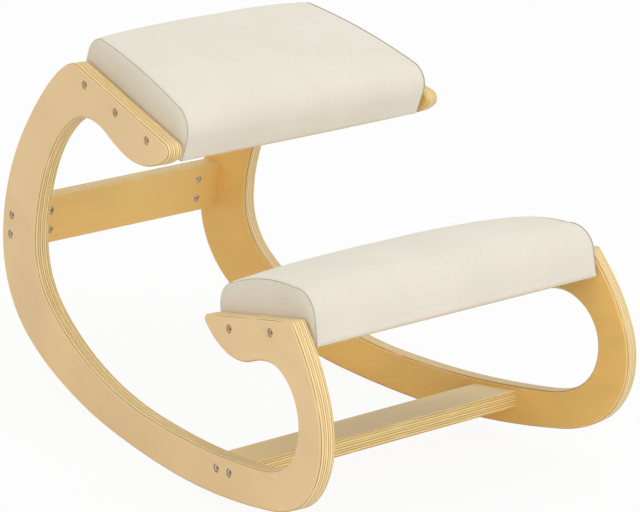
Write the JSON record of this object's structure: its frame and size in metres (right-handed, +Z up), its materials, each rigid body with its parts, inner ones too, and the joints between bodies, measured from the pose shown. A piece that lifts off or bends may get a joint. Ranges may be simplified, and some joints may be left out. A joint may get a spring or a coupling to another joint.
{
  "type": "kneeling chair",
  "caption": "Rocking kneeling chair: plywood side frames shaped as an open C on curved runners, with an upholstered seat, an upholstered knee rest and cross members.",
  "frame": {"origin": "on the floor plane, below the centre of the chair's bounding box", "axes": "+X to the sitter's left, +Y to the rear of the chair, +Z up; the chair stands in the pose in which it balances on its runners with nobody on it"},
  "size_m": [0.5492, 0.6626, 0.4617],
  "materials": {
    "plywood": "clear satin lacquer",
    "board": "raw plywood",
    "rail": "raw pine",
    "foam": "open-cell foam",
    "cover_fabric": "matte fine weave",
    "dust_cloth": "matte non-woven cloth",
    "steel": "zinc plated"
  },
  "bodies": {
    "root": {"side_frame_right": "plywood", "side_frame_left": "plywood", "rear_crossbar": "plywood", "front_stretcher": "plywood", "seat_board": "board", "seat_rail_right": "rail", "seat_rail_left": "rail", "seat_rail_front": "rail", "seat_rail_rear": "rail", "seat_foam": "foam", "seat_cover": "cover_fabric", "seat_dust_cover": "dust_cloth", "seat_bolts": "steel", "seat_insert_nuts": "steel", "knee_board": "board", "knee_rail_right": "rail", "knee_rail_left": "rail", "knee_rail_front": "rail", "knee_rail_rear": "rail", "knee_foam": "foam", "knee_cover": "cover_fabric", "knee_dust_cover": "dust_cloth", "knee_bolts": "steel", "knee_insert_nuts": "steel", "crossbar_bolts": "steel", "crossbar_barrel_nuts": "steel", "stretcher_bolts": "steel", "stretcher_barrel_nuts": "steel"}
  },
  "joints": []
}
